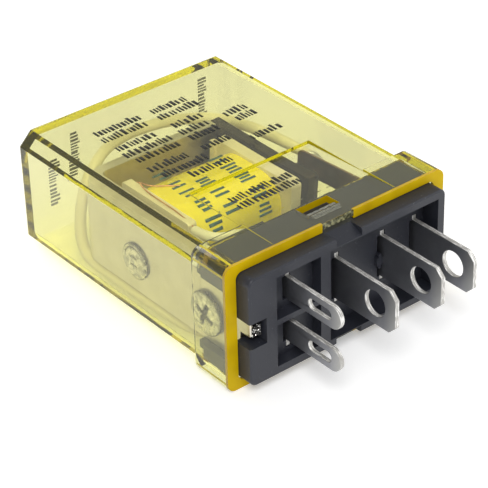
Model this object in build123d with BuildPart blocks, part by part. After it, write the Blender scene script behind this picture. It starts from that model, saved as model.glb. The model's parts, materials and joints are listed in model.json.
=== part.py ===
# Plug-in relay: a clear push-on cover over a moulded base with five plug-in blades. Inside are
# a coil on an L-shaped yoke, a hinged armature and one changeover contact.
# Frame: the relay lies on a broad side. X runs across its width, Y along the plug axis with
# the blades towards -Y, Z through its thickness. The origin is the centre of the base's plug face.
from build123d import *
from math import cos, radians, sin
import os

os.makedirs("parts", exist_ok=True)

# ---- driving dimensions, in mm ----
WIDTH = 27.5
THICKNESS = 14.0
HEIGHT = 35.6          # plug face to closed end
PROTRUSION = 1.8       # how far the base stands out of the cover
BLADE_LENGTH = 6.4
BLADE_WIDTH = 4.7
BLADE_THICKNESS = 0.5

# cover
SKIRT_LENGTH = 4.9     # slightly larger band at the open end
SKIRT_PROUD = 0.25
SKIRT_CORNER = 1.0
BODY_CHAMFER = 1.5
END_FILLET = 0.55
WALL = 1.15
PANEL_HALF = 7.6       # recessed panel on each broad face
PANEL_LENGTH = 13.0
PANEL_DEPTH = 0.4
WINDOW_HALF = 1.95
WINDOW_Y = (3.8, 5.65)
LEAD_IN = (0.45, 0.3)  # bevel that guides the cover over each latch: length, depth

# base
BASE_HALF_X = 12.38
BASE_HALF_Z = 5.98
BASE_CORNER = 0.8
BASE_TOP = 6.1
SEAT_TOP = 7.0
COIL_POCKET_DEPTH = 1.3
CONTACT_POCKET_DEPTH = 2.1

# magnet system
PLATE_X = (-11.6, -10.4)   # yoke plate on the narrow side
YOKE_T = PLATE_X[1] - PLATE_X[0]
LEG_TOP = 26.8             # outer face of the yoke leg
YOKE_Z = (-4.0, 4.6)
COIL_Y = 17.6              # the coil is along X at this height
CORE_Z = -0.4              # its core sits a little below the middle
POLE_X = 4.35              # pole face, level with the end of the yoke leg
CORE_R = 2.6
STAKE_R = 1.8
POLE_R = 3.7
FLANGE_X = (-9.8, -8.8, 2.3, 3.6)
SCREW_Y = 6.15
SCREW_Z = -0.5
SCREW_HEAD_R = 2.35

# armature, drawn in its own plane: u away from the pole, v up the plug axis, z across
OPEN_ANGLE = 2.4
PIVOT = (POLE_X, LEG_TOP)
ARM_GAP = 0.05
ARM_T = 1.2
ARM_LENGTH = 15.0
ARM_TOP_GAP = 0.1
CARRIER_U = (ARM_GAP + ARM_T + 0.02, 3.0)
LEAF_U = (3.02, 3.24)
LEAF_V = (-19.8, -10.4)
LEAF_HALF_Z = 4.3
CONTACT_V = -18.4
CONTACT_R = 1.5
CONTACT_SHANK_R = 0.7

# terminals
COM_X = 0.1
NO_X = 6.0
NC_X = 10.25
COIL_X = -6.7
COIL_Z = 2.38
COIL_BLADE_WIDTH = 2.5
WIRE_HOLE_R = 1.4
WIRE_HOLE_Y = -3.6
LEAD_R = 0.6
COIL_LEAD_R = 0.42


def block(x, y, z, mode=Mode.ADD):
    """A box between two limits along each axis."""
    with Locations(((x[0] + x[1]) / 2, (y[0] + y[1]) / 2, (z[0] + z[1]) / 2)):
        Box(x[1] - x[0], y[1] - y[0], z[1] - z[0], mode=mode)


def across(y):
    """Sketch plane square to the plug axis at height y: local x is X and local y is Z."""
    return Plane.XZ.offset(-y)


def along(x):
    """Sketch plane square to the width at x: local x is Y and local y is Z."""
    return Plane.YZ.offset(x)


def swing(u):
    """Sketch plane on the open armature at distance u: local x is v and local y is Z."""
    tilt = radians(OPEN_ANGLE)
    origin = (PIVOT[0] + u * cos(tilt), PIVOT[1] + u * sin(tilt), 0)
    return Plane(origin=origin, x_dir=(-sin(tilt), cos(tilt), 0), z_dir=(cos(tilt), sin(tilt), 0))


def finish(builder, name):
    """Label a finished piece and write its file."""
    builder.part.label = name
    export_step(builder.part, f"parts/{name}.step")


def bar(y, length, width, thickness, corner, ease=chamfer, mode=Mode.ADD):
    """A bar along +Y from height y, its four long edges chamfered or, with ease=fillet, round."""
    with BuildSketch(across(y)) as outline:
        Rectangle(width, thickness)
        ease(outline.vertices(), corner)
    extrude(outline.sketch, amount=-length, mode=mode)


# ---- cover ----
body_width = WIDTH - 2 * SKIRT_PROUD
body_thickness = THICKNESS - 2 * SKIRT_PROUD
skirt_end = PROTRUSION + SKIRT_LENGTH
panel_end = PROTRUSION + PANEL_LENGTH
panel_z = body_thickness / 2 - PANEL_DEPTH
base_fit = 0.07

with BuildPart() as cover:
    bar(PROTRUSION, HEIGHT - PROTRUSION, body_width, body_thickness, BODY_CHAMFER)
    fillet(cover.faces().sort_by(Axis.Y)[-1].edges(), END_FILLET)
    bar(PROTRUSION, SKIRT_LENGTH, WIDTH, THICKNESS, SKIRT_CORNER, ease=fillet)
    bar(
        PROTRUSION,
        HEIGHT - WALL - PROTRUSION,
        2 * (BASE_HALF_X + base_fit),
        body_thickness - 2 * WALL,
        0.8,
        mode=Mode.SUBTRACT,
    )
    bar(
        PROTRUSION,
        skirt_end - 0.5 - PROTRUSION,
        2 * (BASE_HALF_X + base_fit),
        2 * (BASE_HALF_Z + base_fit),
        BASE_CORNER - base_fit,
        ease=fillet,
        mode=Mode.SUBTRACT,
    )
    for side in (1, -1):
        with BuildSketch(Plane.YZ):
            with BuildLine():
                Polyline(
                    (PROTRUSION, side * THICKNESS / 2),
                    (panel_end, side * panel_z),
                    (panel_end, side * THICKNESS),
                    (PROTRUSION, side * THICKNESS),
                    close=True,
                )
            make_face()
        extrude(amount=PANEL_HALF, both=True, mode=Mode.SUBTRACT)
        low, high = sorted((side * (BASE_HALF_Z - 1), side * THICKNESS))
        block((-WINDOW_HALF, WINDOW_HALF), WINDOW_Y, (low, high), mode=Mode.SUBTRACT)
        inner = side * (BASE_HALF_Z + base_fit)
        with BuildSketch(Plane.YZ):
            with BuildLine():
                Polyline(
                    (PROTRUSION, inner),
                    (PROTRUSION + LEAD_IN[0], inner),
                    (PROTRUSION, inner + side * LEAD_IN[1]),
                    close=True,
                )
            make_face()
        extrude(amount=WINDOW_HALF, both=True, mode=Mode.SUBTRACT)
finish(cover, "cover")

# ---- base ----
POCKETS = (
    ((-9.1, -3.7), (0.3, 5.0), COIL_POCKET_DEPTH),
    ((-9.1, -3.7), (-5.0, -0.3), COIL_POCKET_DEPTH),
    ((-2.5, 11.4), (-5.1, 5.1), CONTACT_POCKET_DEPTH),
)
TAB_NOTCH_Z = (-1.65, 1.15)
PLATE_RECESS_Z = (-3.8, 3.85)
SLOT_SIDE = 0.4        # moulding relief beside each blade
SLOT_PLAY = 0.04
SLOT_TOP = 9.5
SHOULDER = 0.45
SCREW_R = 1.0
RAMP_X = (-1.75, 1.45)
RAMP_Z = 5.15
RAMP_LENGTH = 1.7
LATCH_Y = (WINDOW_Y[0] + 0.1, WINDOW_Y[0] + 1.15)
LATCH_RISE = 0.72

contact_blades = (COM_X, NO_X, NC_X)

with BuildPart() as base:
    with BuildSketch(across(0)) as outline:
        Rectangle(2 * BASE_HALF_X, 2 * BASE_HALF_Z)
        fillet(outline.vertices(), BASE_CORNER)
    extrude(amount=-BASE_TOP)
    chamfer(base.faces().sort_by(Axis.Y)[0].edges(), 0.15)
    # raised seat under the yoke, screw boss, lead ridge and the barrier beside the contacts
    with BuildSketch(across(BASE_TOP - 0.5)) as seat:
        with Locations((-8.5, 0)):
            Rectangle(7.2, 10.7)
        chamfer(seat.vertices().group_by(Axis.X)[0], 0.7)
    extrude(amount=-(SEAT_TOP - BASE_TOP + 0.5))
    block((PLATE_X[1] + 0.03, -7.4), (SEAT_TOP - 0.5, 7.9), (SCREW_Z - 2.1, SCREW_Z + 2.1))
    block((2.6, 3.5), (BASE_TOP - 0.5, 6.8), (-5.3, 5.3))
    block((-9.4, -8.7), (SEAT_TOP - 0.5, 7.9), (3.2, 3.9))
    # recess for the yoke plate and the notch for its tab
    block((-13, PLATE_X[1] + 0.03), (2.2, 9), PLATE_RECESS_Z, mode=Mode.SUBTRACT)
    block((-13, PLATE_X[1] + 0.05), (-1, 2.3), TAB_NOTCH_Z, mode=Mode.SUBTRACT)
    # pockets in the plug face
    for pocket_x, pocket_z, depth in POCKETS:
        block(pocket_x, (-1, depth), pocket_z, mode=Mode.SUBTRACT)
    # slots for the blades, each with a relief beside the blade at the pocket floor
    half_t = BLADE_THICKNESS / 2
    half_w = BLADE_WIDTH / 2 + SHOULDER + SLOT_PLAY
    for x in contact_blades:
        slot_x = (x - half_t - SLOT_PLAY, x + half_t + SLOT_PLAY)
        block(slot_x, (0, SLOT_TOP), (-half_w, half_w), mode=Mode.SUBTRACT)
        relief_x = (x - half_t - SLOT_SIDE, x)
        relief_y = (CONTACT_POCKET_DEPTH - 0.1, CONTACT_POCKET_DEPTH + 1.2)
        block(relief_x, relief_y, (-BLADE_WIDTH / 2, BLADE_WIDTH / 2), mode=Mode.SUBTRACT)
    half_w = COIL_BLADE_WIDTH / 2 + SLOT_PLAY
    for side in (1, -1):
        slot_x = (COIL_X - half_t - SLOT_PLAY, COIL_X + half_t + SLOT_PLAY)
        low, high = sorted((side * (COIL_Z - half_w), side * (COIL_Z + half_w + 0.8)))
        block(slot_x, (0, SLOT_TOP), (low, high), mode=Mode.SUBTRACT)
        relief_x = (COIL_X - half_t - SLOT_SIDE, COIL_X)
        relief_y = (COIL_POCKET_DEPTH - 0.1, COIL_POCKET_DEPTH + 1.2)
        low, high = sorted((side * (COIL_Z - half_w), side * (COIL_Z + half_w)))
        block(relief_x, relief_y, (low, high), mode=Mode.SUBTRACT)
    # cross-shaped stake beside the normally open blade
    stake_y = (CONTACT_POCKET_DEPTH - 0.4, CONTACT_POCKET_DEPTH + 1.3)
    block((5.0, 5.72), stake_y, (-0.75, 0.15))
    block((5.2, 5.55), stake_y, (-1.1, 0.5))
    for side in (1, -1):
        # ramp at the plug face that the cover's edge rides up
        with BuildSketch(Plane.YZ.offset(RAMP_X[0])):
            with BuildLine():
                Polyline(
                    (-0.1, side * RAMP_Z),
                    (RAMP_LENGTH, side * (BASE_HALF_Z + 0.02)),
                    (-0.1, side * (BASE_HALF_Z + 1)),
                    close=True,
                )
            make_face()
        extrude(amount=RAMP_X[1] - RAMP_X[0], mode=Mode.SUBTRACT)
        # latch nose that fills the lower part of the cover's window, ridged on top
        nose = BASE_HALF_Z + LATCH_RISE
        with BuildSketch(Plane.YZ):
            with BuildLine():
                Polyline(
                    (LATCH_Y[0], side * (BASE_HALF_Z - 0.5)),
                    (LATCH_Y[0], side * nose),
                    (LATCH_Y[0] + 0.5, side * nose),
                    (LATCH_Y[1], side * (BASE_HALF_Z + 0.15)),
                    (LATCH_Y[1], side * (BASE_HALF_Z - 0.5)),
                    close=True,
                )
            make_face()
            for groove_y in (LATCH_Y[0] + 0.22, LATCH_Y[0] + 0.46, LATCH_Y[0] + 0.7):
                with Locations(Location((groove_y, side * nose, 0), (0, 0, 45))):
                    Rectangle(0.1, 0.1, mode=Mode.SUBTRACT)
        extrude(amount=WINDOW_HALF - 0.12, both=True)
    # pilot hole for the yoke screw
    with BuildSketch(along(PLATE_X[1])):
        with Locations((SCREW_Y, SCREW_Z)):
            Circle(SCREW_R + 0.03)
    extrude(amount=3.2, mode=Mode.SUBTRACT)
finish(base, "base")


# ---- plug-in blades ----
def contact_blade(x, tongue_top, tongue_half, rivet_y=None):
    """A wide blade: chamfered tip, wire hole, shoulders inside the base and a tongue above it."""
    half = BLADE_WIDTH / 2
    tip = -BLADE_LENGTH
    corner = 0.85
    shoulder = (CONTACT_POCKET_DEPTH + 0.05, 4.5)
    with BuildPart() as blade:
        with BuildSketch(along(x - BLADE_THICKNESS / 2)):
            with BuildLine():
                Polyline(
                    (tip, -half + corner),
                    (tip, half - corner),
                    (tip + corner, half),
                    (shoulder[0], half),
                    (shoulder[0], half + SHOULDER),
                    (shoulder[1], half + SHOULDER),
                    (shoulder[1], tongue_half),
                    (tongue_top, tongue_half),
                    (tongue_top, -tongue_half),
                    (shoulder[1], -tongue_half),
                    (shoulder[1], -half - SHOULDER),
                    (shoulder[0], -half - SHOULDER),
                    (shoulder[0], -half),
                    (tip + corner, -half),
                    close=True,
                )
            make_face()
            with Locations((WIRE_HOLE_Y, 0)):
                Circle(WIRE_HOLE_R, mode=Mode.SUBTRACT)
            if rivet_y is not None:
                with Locations((rivet_y, 0)):
                    Circle(CONTACT_SHANK_R + 0.02, mode=Mode.SUBTRACT)
        extrude(amount=BLADE_THICKNESS)
    return blade


def coil_blade(side):
    """A narrow blade with a round tip and an oblong wire hole."""
    half = COIL_BLADE_WIDTH / 2
    outer = COIL_Z + half
    shoulder_top = 4.5
    with BuildPart() as blade:
        with BuildSketch(along(COIL_X - BLADE_THICKNESS / 2)):
            with Locations((-BLADE_LENGTH + half, side * COIL_Z)):
                Circle(half)
            with Locations(((shoulder_top - BLADE_LENGTH + half) / 2, side * COIL_Z)):
                Rectangle(shoulder_top + BLADE_LENGTH - half, COIL_BLADE_WIDTH)
            with Locations(((COIL_POCKET_DEPTH + 0.05 + shoulder_top) / 2, side * outer)):
                Rectangle(shoulder_top - COIL_POCKET_DEPTH - 0.05, 1.5)
            with Locations((shoulder_top + 2, side * COIL_Z)):
                Rectangle(5, 1.6)
            with Locations((WIRE_HOLE_Y + 0.1, side * COIL_Z)):
                SlotOverall(3.2, 1.15, mode=Mode.SUBTRACT)
        extrude(amount=BLADE_THICKNESS)
    return blade


contact_y = PIVOT[1] + CONTACT_V * cos(radians(OPEN_ANGLE))
com_terminal = contact_blade(COM_X, 8.6, 1.7)
finish(com_terminal, "com_terminal")
for name, x in (("no_terminal", NO_X), ("nc_terminal", NC_X)):
    terminal = contact_blade(x, contact_y + 1.8, 1.9, contact_y)
    finish(terminal, name)
for name, side in (("coil_terminal_a", 1), ("coil_terminal_b", -1)):
    terminal = coil_blade(side)
    finish(terminal, name)

# ---- yoke: plate on the narrow side, leg over the coil, tab down to the plug face ----
SPRING_RIVETS = [(-0.9, 0), (1.6, 0)]
SPRING_RIVET_R = 0.5
PLATE_NECK_TOP = 8.2
PLATE_NECK_Z = (-3.7, 3.75)
TAB_Z = (-1.1, 0.5)
TAB_TOP = 2.4
TAB_END = 0.8
BEND_R = 0.8

with BuildPart() as yoke:
    with BuildSketch(Plane.XY.offset(YOKE_Z[0])) as profile:
        with BuildLine():
            Polyline(
                (PLATE_X[0], TAB_END),
                (PLATE_X[0], LEG_TOP),
                (POLE_X, LEG_TOP),
                (POLE_X, LEG_TOP - YOKE_T),
                (PLATE_X[1], LEG_TOP - YOKE_T),
                (PLATE_X[1], TAB_END),
                close=True,
            )
        make_face()
    extrude(amount=YOKE_Z[1] - YOKE_Z[0])
    long_edges = yoke.edges().filter_by(Axis.Z)
    outer_bend = long_edges.filter_by_position(Axis.X, PLATE_X[0] - 0.01, PLATE_X[0] + 0.01)
    fillet(outer_bend.sort_by(Axis.Y)[-1], BEND_R + YOKE_T)
    long_edges = yoke.edges().filter_by(Axis.Z)
    inner_bend = long_edges.filter_by_position(Axis.X, PLATE_X[1] - 0.01, PLATE_X[1] + 0.01)
    fillet(inner_bend.sort_by(Axis.Y)[-1], BEND_R)
    plate_cut_x = (PLATE_X[0] - 1, PLATE_X[1] + 1)
    for top, (low, high) in ((PLATE_NECK_TOP, PLATE_NECK_Z), (TAB_TOP, TAB_Z)):
        block(plate_cut_x, (0, top), (-6, low), mode=Mode.SUBTRACT)
        block(plate_cut_x, (0, top), (high, 6), mode=Mode.SUBTRACT)
    with BuildSketch(along(PLATE_X[0] - 0.5)):
        with Locations((COIL_Y, CORE_Z)):
            Circle(STAKE_R + 0.02)
        with Locations((SCREW_Y, SCREW_Z)):
            Circle(SCREW_R + 0.1)
    extrude(amount=YOKE_T + 1, mode=Mode.SUBTRACT)
    # holes for the two rivets of the return spring
    with BuildSketch(across(LEG_TOP + 0.5)):
        with Locations(*SPRING_RIVETS):
            Circle(SPRING_RIVET_R + 0.05)
    extrude(amount=YOKE_T + 1, mode=Mode.SUBTRACT)
    # staked, slightly spread end of the tab
    chamfer(yoke.faces().sort_by(Axis.Y)[0].edges(), 0.2)
finish(yoke, "yoke")

with BuildPart() as yoke_screw:
    with BuildSketch(along(PLATE_X[0] - 0.03)):
        with Locations((SCREW_Y, SCREW_Z)):
            Circle(SCREW_HEAD_R)
    extrude(amount=-0.62)
    fillet(yoke_screw.faces().sort_by(Axis.X)[0].edges(), 0.35)
    with BuildSketch(along(PLATE_X[0] - 0.1)):
        with Locations((SCREW_Y, SCREW_Z)):
            Circle(SCREW_R)
    extrude(amount=4.2)
    chamfer(yoke_screw.faces().sort_by(Axis.X)[-1].edges(), 0.3)
    with BuildSketch(along(PLATE_X[0] - 0.7)):
        with Locations(Location((SCREW_Y, SCREW_Z, 0), (0, 0, 20))):
            Rectangle(2.3, 0.5)
            Rectangle(0.5, 2.3)
    extrude(amount=0.5, mode=Mode.SUBTRACT)
finish(yoke_screw, "yoke_screw")

# ---- core, shading ring, bobbin, winding and tape ----
RING_OUT = 3.0
RING_IN = 2.3
RING_DEPTH = 0.5


def shading_ring_sketch(play):
    """Half-moon ring with its straight side along Y; play widens it on both outlines."""
    with Locations((COIL_Y, CORE_Z)):
        Circle(RING_OUT + play)
    with Locations((COIL_Y, CORE_Z - RING_OUT + 0.2 - play)):
        Rectangle(3 * RING_OUT, 2 * RING_OUT, mode=Mode.SUBTRACT)
    with BuildSketch(mode=Mode.PRIVATE) as inner:
        with Locations((COIL_Y, CORE_Z)):
            Circle(RING_IN - play)
        with Locations((COIL_Y, CORE_Z - RING_OUT + 0.9 + play)):
            Rectangle(3 * RING_OUT, 2 * RING_OUT, mode=Mode.SUBTRACT)
    add(inner.sketch_local, mode=Mode.SUBTRACT)


with BuildPart() as core:
    for radius, x0, x1 in (
        (STAKE_R, PLATE_X[0] - 0.15, PLATE_X[1] + 0.5),
        (CORE_R, PLATE_X[1] + 0.02, POLE_X),
        (POLE_R, FLANGE_X[3] + 0.03, POLE_X),
    ):
        with BuildSketch(along(x0)):
            with Locations((COIL_Y, CORE_Z)):
                Circle(radius)
        extrude(amount=x1 - x0)
    with BuildSketch(along(POLE_X - RING_DEPTH)):
        shading_ring_sketch(0.03)
    extrude(amount=1, mode=Mode.SUBTRACT)
finish(core, "core")

with BuildPart() as shading_ring:
    with BuildSketch(along(POLE_X - RING_DEPTH + 0.02)):
        shading_ring_sketch(0)
    extrude(amount=RING_DEPTH - 0.05)
finish(shading_ring, "shading_ring")

TUBE_R = (CORE_R + 0.05, 3.3)
POLE_FLANGE_Y = (11.1, 23.65)
with BuildPart() as bobbin:
    with BuildSketch(along(FLANGE_X[0])):
        with Locations((COIL_Y, CORE_Z)):
            Circle(TUBE_R[1])
    extrude(amount=FLANGE_X[3] - FLANGE_X[0])
    with BuildSketch(along(FLANGE_X[0])) as wire_flange:
        with Locations((COIL_Y - 0.1, 0)):
            Rectangle(10.6, 9.2)
        fillet(wire_flange.vertices(), 0.3)
    extrude(amount=FLANGE_X[1] - FLANGE_X[0])
    # pole flange: rounded towards the base, nearly square towards the yoke leg
    with BuildSketch(along(FLANGE_X[2])) as pole_flange:
        with Locations(((POLE_FLANGE_Y[0] + POLE_FLANGE_Y[1]) / 2, 0)):
            Rectangle(POLE_FLANGE_Y[1] - POLE_FLANGE_Y[0], 9.3)
        fillet(pole_flange.vertices().group_by(Axis.Y)[0], 3.8)
        fillet(pole_flange.vertices().group_by(Axis.Y)[-1], 0.8)
    extrude(amount=FLANGE_X[3] - FLANGE_X[2])
    # ledge of the pole flange over the tape
    block((1.9, FLANGE_X[2] + 0.2), (COIL_Y + 5.4, POLE_FLANGE_Y[1]), (-4.4, 4.4))
    with BuildSketch(along(FLANGE_X[0] - 1)):
        with Locations((COIL_Y, CORE_Z)):
            Circle(TUBE_R[0])
    extrude(amount=FLANGE_X[3] - FLANGE_X[0] + 2, mode=Mode.SUBTRACT)
finish(bobbin, "bobbin")

TAPE_HALF = (5.2, 4.35)   # half height along Y, half thickness along Z
TAPE_T = 0.13
TAPE_CORNER = 3.5


def coil_layer(gap, grow, hole_grow):
    """A layer of the coil between the flanges; hole_grow None leaves a hole for the bobbin."""
    x0 = FLANGE_X[1] + gap
    with BuildPart() as layer:
        with BuildSketch(along(x0)) as outline:
            with Locations((COIL_Y, 0)):
                Rectangle(2 * (TAPE_HALF[0] + grow), 2 * (TAPE_HALF[1] + grow))
            fillet(outline.vertices(), TAPE_CORNER + grow)
            if hole_grow is None:
                with Locations((COIL_Y, CORE_Z)):
                    Circle(TUBE_R[1] + 0.03, mode=Mode.SUBTRACT)
            else:
                half = (TAPE_HALF[0] + hole_grow, TAPE_HALF[1] + hole_grow)
                with Locations((COIL_Y, 0)):
                    RectangleRounded(
                        2 * half[0], 2 * half[1], TAPE_CORNER + hole_grow, mode=Mode.SUBTRACT
                    )
        extrude(amount=FLANGE_X[2] - gap - x0)
    return layer


coil_winding = coil_layer(0.06, -TAPE_T - 0.03, None)
finish(coil_winding, "coil_winding")
coil_tape = coil_layer(0.03, 0, -TAPE_T)
finish(coil_tape, "coil_tape")

# ---- armature with its carrier, leaf and contact ----
RIVETS = [(-11.8, 1.4), (-11.8, -1.4)]
RIVET_R = 0.5

with BuildPart() as armature:
    with BuildSketch(swing(ARM_GAP)):
        with BuildLine():
            Polyline(
                (-ARM_TOP_GAP, 4.5),
                (-ARM_TOP_GAP, -4.5),
                (-ARM_LENGTH, -3.8),
                (-ARM_LENGTH, 3.8),
                close=True,
            )
        make_face()
        with Locations(*RIVETS):
            Circle(RIVET_R + 0.02, mode=Mode.SUBTRACT)
    extrude(amount=ARM_T)
    chamfer(armature.faces().sort_by(Axis.Y)[0].edges(), 0.15)
finish(armature, "armature")

CARRIER_V = (-13.6, -10.0)
with BuildPart() as contact_carrier:
    with BuildSketch(swing(CARRIER_U[0])) as outline:
        with Locations((sum(CARRIER_V) / 2, 0)):
            Rectangle(CARRIER_V[1] - CARRIER_V[0], 4.8)
        fillet(outline.vertices(), 0.6)
        with Locations(*RIVETS):
            Circle(RIVET_R + 0.02, mode=Mode.SUBTRACT)
    extrude(amount=CARRIER_U[1] - CARRIER_U[0])
finish(contact_carrier, "contact_carrier")

LEAF_WINDOW_V = (-17.0, -13.2)
with BuildPart() as moving_spring:
    with BuildSketch(swing(LEAF_U[0])) as outline:
        with Locations((sum(LEAF_V) / 2, 0)):
            Rectangle(LEAF_V[1] - LEAF_V[0], 2 * LEAF_HALF_Z)
        fillet(outline.vertices(), 0.7)
        with Locations((sum(LEAF_WINDOW_V) / 2, 0)):
            RectangleRounded(LEAF_WINDOW_V[1] - LEAF_WINDOW_V[0], 2.8, 0.5, mode=Mode.SUBTRACT)
        with Locations(*RIVETS):
            Circle(RIVET_R + 0.02, mode=Mode.SUBTRACT)
        with Locations((CONTACT_V, 0)):
            Circle(0.62, mode=Mode.SUBTRACT)
    extrude(amount=LEAF_U[1] - LEAF_U[0])
finish(moving_spring, "moving_spring")

with BuildPart() as armature_rivets:
    for centre in RIVETS:
        with BuildSketch(swing(ARM_GAP + 0.05)):
            with Locations(centre):
                Circle(RIVET_R)
        extrude(amount=LEAF_U[1] - ARM_GAP)
        with BuildSketch(swing(LEAF_U[1] + 0.01)):
            with Locations(centre):
                Circle(1.8 * RIVET_R)
        extrude(amount=0.35, taper=25)
finish(armature_rivets, "armature_rivets")

MOVING_HEAD = 0.56
with BuildPart() as moving_contact:
    with BuildSketch(swing(LEAF_U[0] - MOVING_HEAD)):
        with Locations((CONTACT_V, 0)):
            Circle(0.6)
    extrude(amount=2 * MOVING_HEAD + LEAF_U[1] - LEAF_U[0])
    for u in (LEAF_U[0] - MOVING_HEAD, LEAF_U[1] + 0.01):
        with BuildSketch(swing(u)):
            with Locations((CONTACT_V, 0)):
                Circle(CONTACT_R)
        extrude(amount=MOVING_HEAD - 0.01)
    rims = moving_contact.edges().filter_by(GeomType.CIRCLE).group_by(SortBy.RADIUS)[-1]
    fillet(rims.sort_by(Axis.X)[0], 0.25)
    fillet(rims.sort_by(Axis.X)[-1], 0.25)
finish(moving_contact, "moving_contact")


# ---- fixed contacts ----
def fixed_contact(x_back, x_face):
    """A rivet contact: the head between its terminal and x_face, the shank in the terminal."""
    direction = 1 if x_face > x_back else -1
    with BuildPart() as button:
        with BuildSketch(along(x_back + direction * 0.02)):
            with Locations((contact_y, 0)):
                Circle(CONTACT_R)
        extrude(amount=x_face - x_back - direction * 0.02)
        rim = button.faces().sort_by(Axis.X, reverse=direction > 0)[0].edges()
        fillet(rim, 0.2)
        with BuildSketch(along(x_back - direction * (BLADE_THICKNESS + 0.1))):
            with Locations((contact_y, 0)):
                Circle(CONTACT_SHANK_R)
        extrude(amount=direction * (BLADE_THICKNESS + 0.3))
    return button


REST_FACE_X = 9.02     # face of the normally closed contact
WORK_FACE_X = 6.76     # face of the normally open contact
no_contact = fixed_contact(NO_X + BLADE_THICKNESS / 2, WORK_FACE_X)
finish(no_contact, "no_contact")
nc_contact = fixed_contact(NC_X - BLADE_THICKNESS / 2, REST_FACE_X)
finish(nc_contact, "nc_contact")

# ---- return spring: a leaf riveted on the yoke leg that bends down onto the armature ----
SPRING_T = 0.2
SPRING_Y = LEG_TOP + 0.1
SPRING_X = PIVOT[0] + 1.85

with BuildPart() as return_spring:
    with BuildSketch(Plane.XY.offset(-2.2)):
        with BuildLine() as centre_line:
            FilletPolyline(
                (-2.4, SPRING_Y + SPRING_T / 2),
                (SPRING_X, SPRING_Y + SPRING_T / 2),
                (SPRING_X - 0.25, 23.2),
                radius=0.6,
            )
        trace(centre_line.line, line_width=SPRING_T)
    extrude(amount=4.4)
    with BuildSketch(across(LEG_TOP + 1)):
        with Locations(*SPRING_RIVETS):
            Circle(SPRING_RIVET_R + 0.05)
    extrude(amount=1, mode=Mode.SUBTRACT)
finish(return_spring, "return_spring")

with BuildPart() as spring_rivets:
    for centre in SPRING_RIVETS:
        with BuildSketch(across(SPRING_Y + SPRING_T + 0.05)):
            with Locations(centre):
                Circle(SPRING_RIVET_R)
        extrude(amount=YOKE_T + SPRING_T + 0.4)
        with BuildSketch(across(SPRING_Y + SPRING_T + 0.02)):
            with Locations(centre):
                Circle(2 * SPRING_RIVET_R)
        extrude(amount=-0.35, taper=25)
finish(spring_rivets, "spring_rivets")


# ---- leads ----
def lead(points, radii, radius):
    """An insulated lead: straight runs joined by tangent arcs."""
    with BuildPart() as tube:
        with BuildLine() as route:
            FilletPolyline(*points, radius=radii)
        with BuildSketch(Plane(origin=route.line @ 0, z_dir=route.line % 0)):
            Circle(radius)
        sweep()
    return tube


def arc_radii(points):
    """Largest arcs that the two runs at each corner allow, 0.45 of the shorter run."""
    radii = []
    for before, here, after in zip(points, points[1:], points[2:]):
        run_in = Vector(*here) - Vector(*before)
        run_out = Vector(*after) - Vector(*here)
        half_turn = radians(run_in.get_angle(run_out) / 2)
        radii.append(0.45 * min(run_in.length, run_out.length) * cos(half_turn) / sin(half_turn))
    return radii


FLEX_ROUTE = (
    (8.82, 15.0, 3.3),
    (8.76, 19.0, 3.3),
    (8.5, 24.0, 3.1),
    (7.2, 29.0, 2.9),
    (2.6, 31.6, 3.2),
    (-3.6, 31.7, 3.6),
    (-8.0, 30.6, 2.4),
    (-10.3, 29.2, -1.6),
    (-11.1, 27.6, -4.75),
    (-11.15, 23.0, -4.87),
    (-11.1, 16.0, -4.83),
    (-10.9, 9.4, -4.86),
    (-8.2, 7.8, -4.88),
    (-3.2, 7.7, -4.8),
    (0.1, 7.7, -2.3),
)
flexible_lead = lead(FLEX_ROUTE, arc_radii(FLEX_ROUTE), LEAD_R)
finish(flexible_lead, "flexible_lead")

for name, side in (("coil_lead_a", 1), ("coil_lead_b", -1)):
    z_out = 4.55 if side > 0 else -3.72
    coil_route = (
        (-9.3, 11.8, side * 3.9),
        (-9.7, 8.9, z_out),
        (-7.9, 7.75, z_out + side * 0.1),
        (-5.0, 7.85, side * 3.6),
        (-5.94, 8.6, side * 2.4),
    )
    coil_lead = lead(coil_route, arc_radii(coil_route), COIL_LEAD_R)
    finish(coil_lead, name)
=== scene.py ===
import bpy
import bmesh
import json
import random
from math import cos, pi, radians, sin
from mathutils import Matrix, Vector


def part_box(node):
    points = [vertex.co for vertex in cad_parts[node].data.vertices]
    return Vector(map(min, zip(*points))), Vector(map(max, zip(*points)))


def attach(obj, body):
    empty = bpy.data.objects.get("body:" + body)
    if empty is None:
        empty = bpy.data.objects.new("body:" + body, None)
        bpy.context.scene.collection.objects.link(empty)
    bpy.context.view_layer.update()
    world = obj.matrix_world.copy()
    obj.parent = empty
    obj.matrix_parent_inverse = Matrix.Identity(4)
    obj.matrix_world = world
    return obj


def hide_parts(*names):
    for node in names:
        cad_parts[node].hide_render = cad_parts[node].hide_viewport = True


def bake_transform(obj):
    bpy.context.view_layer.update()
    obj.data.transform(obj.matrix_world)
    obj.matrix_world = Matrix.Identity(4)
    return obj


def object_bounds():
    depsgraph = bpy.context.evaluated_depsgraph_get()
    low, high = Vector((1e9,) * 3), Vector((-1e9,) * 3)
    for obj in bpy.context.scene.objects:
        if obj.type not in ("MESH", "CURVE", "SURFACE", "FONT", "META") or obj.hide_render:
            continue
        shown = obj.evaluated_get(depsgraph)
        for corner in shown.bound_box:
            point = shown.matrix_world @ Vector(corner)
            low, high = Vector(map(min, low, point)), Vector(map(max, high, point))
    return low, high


MM = 0.001
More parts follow.
